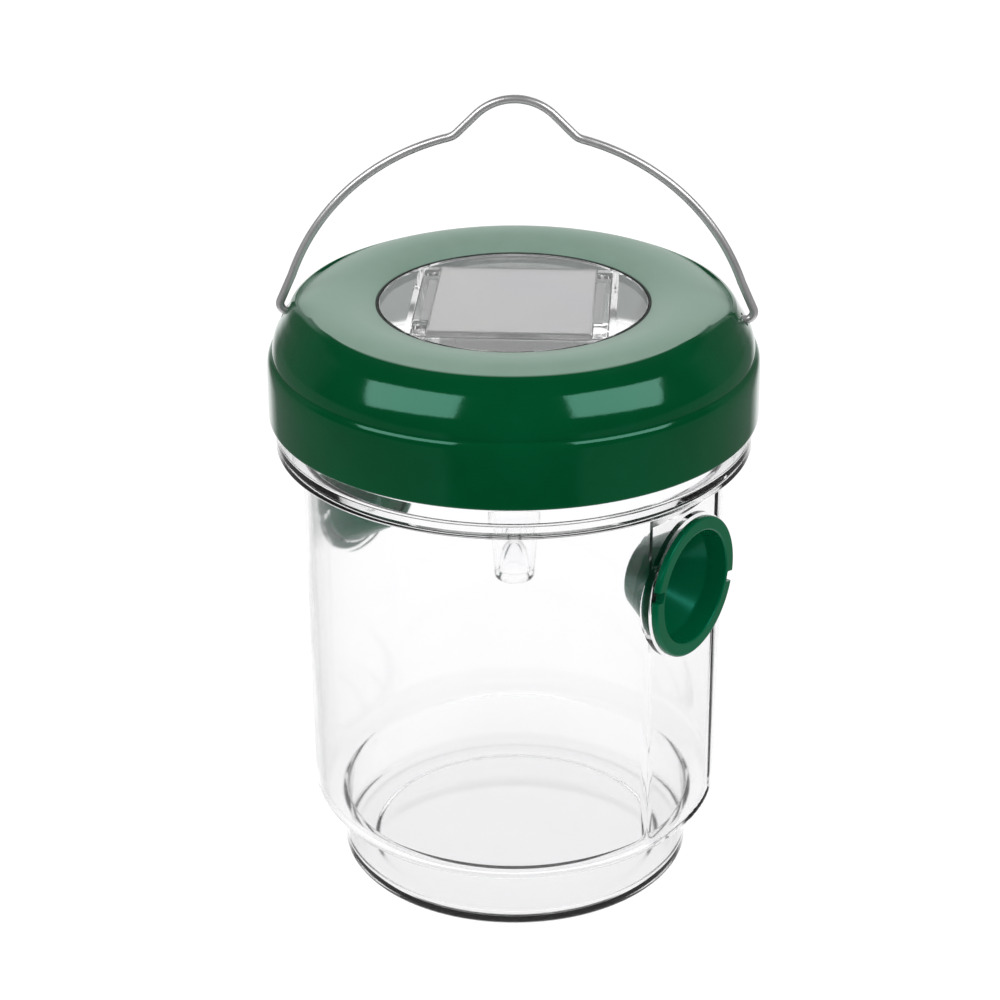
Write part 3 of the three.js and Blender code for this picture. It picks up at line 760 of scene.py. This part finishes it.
def make_pod_cover():
    inside_x, inside_y = POD_X - 2 * POD_WALL, POD_Y - 2 * POD_WALL
    ceiling = POD_TOP - 1.0
    low = POD_BOTTOM + 2.3
    window = held(filleted([
        (0, POD_FLANGE_BOTTOM), (48.4, POD_FLANGE_BOTTOM, 0.4), (48.4, POD_FLANGE_TOP, 0.4),
        (33.95, POD_FLANGE_TOP, 0.2), (33.95, POD_TOP, 0.4), (0, POD_TOP)], 5))
    cover = link("module_cover", mesh_from(revolve(window, ROUND), "module_cover"))
    combine(cover, [module_block(POD_X, POD_Y, low, POD_FLANGE_TOP - 0.5, 1.2, 2)], "UNION")
    combine(cover, [
        module_block(inside_x, inside_y, low - 3, POD_FLANGE_BOTTOM, 0.6),
        module_block(41.2, 45.0, POD_FLANGE_BOTTOM - 1, ceiling, 0.4),
        module_block(inside_x, 30.8, POD_FLANGE_BOTTOM - 1, ceiling - 0.02, 0.4),
    ], "DIFFERENCE")
    bosses = []
    pilots = []
    for (x, y), screw in zip(CORNERS, lid_screw_places()):
        bosses.append(rod(2.3, low, POD_FLANGE_BOTTOM + 0.25, 32, place=(x, y)))
        pilots.append(rod(1.35, low - 1, 150.5, 24, place=(x, y)))
        ends = sorted([x, math.copysign(POD_X / 2 - 1, x)])
        bosses.append(block((ends[0], y - 0.6, low), (ends[1], y + 0.6, POD_FLANGE_BOTTOM + 0.2)))
        pilots.append(rod(LID_PILOT_R, 150, 156, 24, place=screw))
    combine(cover, bosses, "UNION")
    combine(cover, pilots, "DIFFERENCE")
    return finish_piece(turned(cover), CLEAR, "lid", "clear_plastic", "pod_cover", angle=28)


def lamp_tube_outline(top):
    """Outline of the lamp tube, from the dimple in its tip up to the base plate and down again."""
    def above_tip(*points):
        return [(r, LAMP_TIP + h, *radius) for r, h, *radius in points]

    dimple = spline(above_tip((0, 9.4), (1.3, 8.6), (2.3, 6.0), (2.9, 3.0), (3.4, 0.6)), 5)
    outside = above_tip((3.4, 0.6), (4.0, 0, 0.5), (5.1, 0, 1.1), (6.15, 13.2, 0.5), (6.75, 14.2, 0.5))
    outside = filleted(outside + [(6.75, top)], 5)[1:]
    inside = above_tip((5.5, 14.6, 0.5), (4.9, 13.4, 0.5), (4.3, 2.6, 0.3), (4.0, 2.4))
    inside = filleted([(5.5, top)] + inside, 5)
    bell = spline(above_tip((3.9, 2.6), (3.6, 6.0), (2.5, 9.6), (0, 10.8)), 6)
    return dimple + held(outside) + inside + bell


def make_pod_base():
    top = POD_BOTTOM + 2
    base = link("module_base", mesh_from(
        module_block(POD_X, POD_Y, POD_BOTTOM, top, 1.2, 2), "module_base"))
    combine(base, [rod(6.2, POD_BOTTOM - 1, top + 1, 64)], "DIFFERENCE")
    combine(base, [revolve(lamp_tube_outline(top), 96)], "UNION")
    cuts = [block((-3.8, -16.2, POD_BOTTOM - 1), (3.8, -12.8, top + 1), 0.6, 3, only=2)]
    cuts += [rod(1.4, POD_BOTTOM - 1, top + 1, 24, place=corner) for corner in CORNERS]
    combine(base, cuts, "DIFFERENCE")
    return finish_piece(turned(base), CLEAR, "lid", "clear_plastic", "pod_base", angle=28)


def refine(node, name, material, body, slot, bevel=0.15, segments=2):
    """Copy of a small CAD node with its flat faces joined and its edges rounded."""
    bm = bmesh.new()
    bm.from_mesh(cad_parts[node].data)
    bmesh.ops.scale(bm, verts=bm.verts, vec=(1000, 1000, 1000))
    bmesh.ops.remove_doubles(bm, verts=bm.verts, dist=0.002)
    bmesh.ops.dissolve_limit(bm, angle_limit=math.radians(3), verts=bm.verts, edges=bm.edges)
    sharp = [e for e in bm.edges if len(e.link_faces) == 2 and e.calc_face_angle(0) > math.radians(40)]
    bmesh.ops.bevel(bm, geom=sharp, offset=bevel, segments=segments, profile=0.5, affect="EDGES",
                    clamp_overlap=True)
    hold_faces(bm)
    piece = link(name, mesh_from(bm, name))
    return finish_piece(piece, material, body, slot, node, angle=40)


# CAD node, name, material, material slot and edge radius of each small part of the module.
MODULE_PARTS = [
    ("solar_panel", "panel_glass", PANEL, "panel_face", 0.2),
    ("panel_clip_right", "panel_strip_right", GREY, "grey_plastic", 0.2),
    ("panel_clip_left", "panel_strip_left", GREY, "grey_plastic", 0.2),
    ("circuit_board", "board_plate", BOARD, "board", 0.15),
    ("rechargeable_cell", "cell_can", WHITE, "white_plastic", 0.15),
    ("cell_contact_positive", "contact_plus", STEEL, "plated_steel", 0.12),
    ("cell_contact_negative", "contact_minus", STEEL, "plated_steel", 0.12),
    ("led_lamp", "lamp_dome", EPOXY, "led_epoxy", 0.1),
    ("led_lead_positive", "lead_plus", STEEL, "plated_steel", 0.06),
    ("led_lead_negative", "lead_minus", STEEL, "plated_steel", 0.06),
    ("switch_body", "switch_case", WHITE, "white_plastic", 0.2),
    ("switch_slider", "switch_knob", WHITE, "white_plastic", 0.2),
]


def make_module_parts():
    for node, name, material, slot, bevel in MODULE_PARTS:
        body = "switch" if node == "switch_slider" else "lid"
        refine(node, name, material, body, slot, bevel)
    for i in range(1, 5):
        refine(f"pod_screw_{i}", f"module_screw_{i}", STEEL, "lid", "plated_steel", 0.15)
        refine(f"lid_screw_{i}", f"cover_screw_{i}", STEEL, "lid", "plated_steel", 0.15)


# ---- Studio --------------------------------------------------------------------------------

FRONT = Vector((math.sin(VIEW_TURN), -math.cos(VIEW_TURN), 0))
RIGHT = Vector((math.cos(VIEW_TURN), math.sin(VIEW_TURN), 0))
UP = Vector((0, 0, 1))


def make_camera():
    """Camera at the photo's angle, from the front right and above."""
    distance = 0.704
    target = Vector((0, 0, 0.1004))
    away = FRONT * math.cos(VIEW_ELEVATION) + UP * math.sin(VIEW_ELEVATION)
    data = bpy.data.cameras.new("camera")
    data.lens = 97.5
    data.sensor_width = 36.0
    data.shift_x = -0.0142
    data.shift_y = 0.001
    data.clip_start = 0.01
    camera = bpy.data.objects.new("camera", data)
    roll = Matrix.Rotation(math.radians(-0.2), 3, "Z")
    camera.location = target + away * distance
    camera.rotation_euler = (away.to_track_quat("Z", "Y").to_matrix() @ roll).to_euler()
    bpy.context.scene.collection.objects.link(camera)
    bpy.context.scene.camera = camera


def make_light(name, away, along, distance, width, height, radiance):
    """Soft box that faces the trap's middle, with its long side along a given direction. Both
    directions are given as (towards the camera, to the right, up)."""
    away = (FRONT * away[0] + RIGHT * away[1] + UP * away[2]).normalized()
    along = FRONT * along[0] + RIGHT * along[1] + UP * along[2]
    along = (along - away * along.dot(away)).normalized()
    data = bpy.data.lights.new(name, "AREA")
    data.shape = "RECTANGLE"
    data.size = width
    data.size_y = height
    data.energy = radiance * math.pi * width * height
    data.diffuse_factor = 0.01
    light = bpy.data.objects.new(name, data)
    light.location = Vector((0, 0, 0.15)) + away * distance
    light.rotation_euler = Matrix((along, away.cross(along), away)).transposed().to_euler()
    light.visible_camera = False
    light.visible_transmission = False
    bpy.context.scene.collection.objects.link(light)


class Sky:
    """The world's node tree, with short calls for sums of its direction."""

    def __init__(self):
        self.world = bpy.data.worlds.new("studio")
        self.world.use_nodes = True
        self.nodes = self.world.node_tree.nodes
        self.links = self.world.node_tree.links
        self.nodes.clear()
        self.coord = self.nodes.new("ShaderNodeTexCoord")

    def along(self, direction):
        node = self.nodes.new("ShaderNodeVectorMath")
        node.operation = "DOT_PRODUCT"
        node.inputs[1].default_value = direction
        self.links.new(self.coord.outputs["Generated"], node.inputs[0])
        return node.outputs["Value"]

    def math(self, operation, *values):
        node = self.nodes.new("ShaderNodeMath")
        node.operation = operation
        for value, socket in zip(values, node.inputs):
            if isinstance(value, bpy.types.NodeSocket):
                self.links.new(value, socket)
            else:
                socket.default_value = value
        return node.outputs["Value"]

    def ramp(self, value, start, end, low, high):
        node = self.nodes.new("ShaderNodeMapRange")
        node.inputs["From Min"].default_value = start
        node.inputs["From Max"].default_value = end
        node.inputs["To Min"].default_value = low
        node.inputs["To Max"].default_value = high
        self.links.new(value, node.inputs["Value"])
        return node.outputs["Result"]

    def background(self, strength):
        node = self.nodes.new("ShaderNodeBackground")
        if isinstance(strength, bpy.types.NodeSocket):
            self.links.new(strength, node.inputs["Strength"])
        else:
            node.inputs["Strength"].default_value = strength
        node.inputs["Color"].default_value = (1, 1, 1, 1)
        return node.outputs["Background"]


def make_world():
    """White all round. Gloss sees a bright wall behind the trap, a dark room in front of it, and
    a dim floor to the left and right of the camera."""
    sky = Sky()
    front = sky.along(FRONT)
    height = sky.along(UP)
    sideways = sky.math("ABSOLUTE", sky.along(RIGHT))
    away = sky.ramp(front, -0.12, -0.3, 0, 1)
    behind = sky.math("MULTIPLY", away, sky.ramp(sideways, 0.35, 0.55, 1, 0.12))
    wall = sky.math("MULTIPLY", behind, sky.ramp(height, 0.5, 0.62, 1.25, 0.08))
    aside = sky.math("SUBTRACT", sideways, sky.math("MULTIPLY", front, 0.51))
    below = sky.ramp(height, 0.0, -0.05, 0, 1)
    beside = sky.math("MULTIPLY", sky.ramp(aside, 0.0, 0.1, 0, 0.22), below)
    floor = sky.ramp(height, -0.52, -0.62, 0, 0.9)
    low = sky.math("MAXIMUM", beside, floor)
    room = sky.math("ADD", sky.math("MAXIMUM", wall, low), 0.04)
    path = sky.nodes.new("ShaderNodeLightPath")
    mix = sky.nodes.new("ShaderNodeMixShader")
    sky.links.new(path.outputs["Is Glossy Ray"], mix.inputs["Fac"])
    sky.links.new(sky.background(0.78), mix.inputs[1])
    sky.links.new(sky.background(room), mix.inputs[2])
    out = sky.nodes.new("ShaderNodeOutputWorld")
    sky.links.new(mix.outputs["Shader"], out.inputs["Surface"])
    bpy.context.scene.world = sky.world


def make_floor():
    """Glowing white table, as on a light table, so that no shadow falls on it."""
    bm = bmesh.new()
    bmesh.ops.create_grid(bm, x_segments=8, y_segments=8, size=3000)
    floor = link("floor", mesh_from(bm, "floor"))
    floor.location.z = -0.0003
    shader = Shader("pale_floor", Emission_Color=(1, 1, 1, 1), Emission_Strength=0.92)
    grain = shader.noise(6, 3)
    shader.drive("Base Color", shader.mix(grain, (0.14, 0.14, 0.14, 1), (0.16, 0.16, 0.16, 1)))
    shader.drive("Roughness", shader.between(grain, 0.85, 0.95))
    shader.material.cycles.emission_sampling = "NONE"
    floor.data.materials.append(shader.material)
    floor.visible_glossy = False


def make_studio():
    scene = bpy.context.scene
    scene.view_settings.view_transform = "Standard"
    scene.view_settings.look = "None"
    scene.cycles.max_bounces = 24
    scene.cycles.transmission_bounces = 24
    scene.cycles.transparent_max_bounces = 24
    make_world()
    make_floor()
    for name, side in (("soft_box_left", -1), ("soft_box_right", 1)):
        away, along = (0.47, side * 0.664, 0.592), (0.65, -side * 0.71, 0.27)
        make_light(name, away, along, distance=0.9, width=0.67, height=0.36, radiance=5.2)


make_camera()
make_jar()
make_funnel(1, "funnel_cone_right", "funnel_right", "entrance_funnel_right")
make_funnel(-1, "funnel_cone_left", "funnel_left", "entrance_funnel_left")
make_lid()
make_seals()
make_bail()
make_pod_cover()
make_pod_base()
make_module_parts()
make_studio()
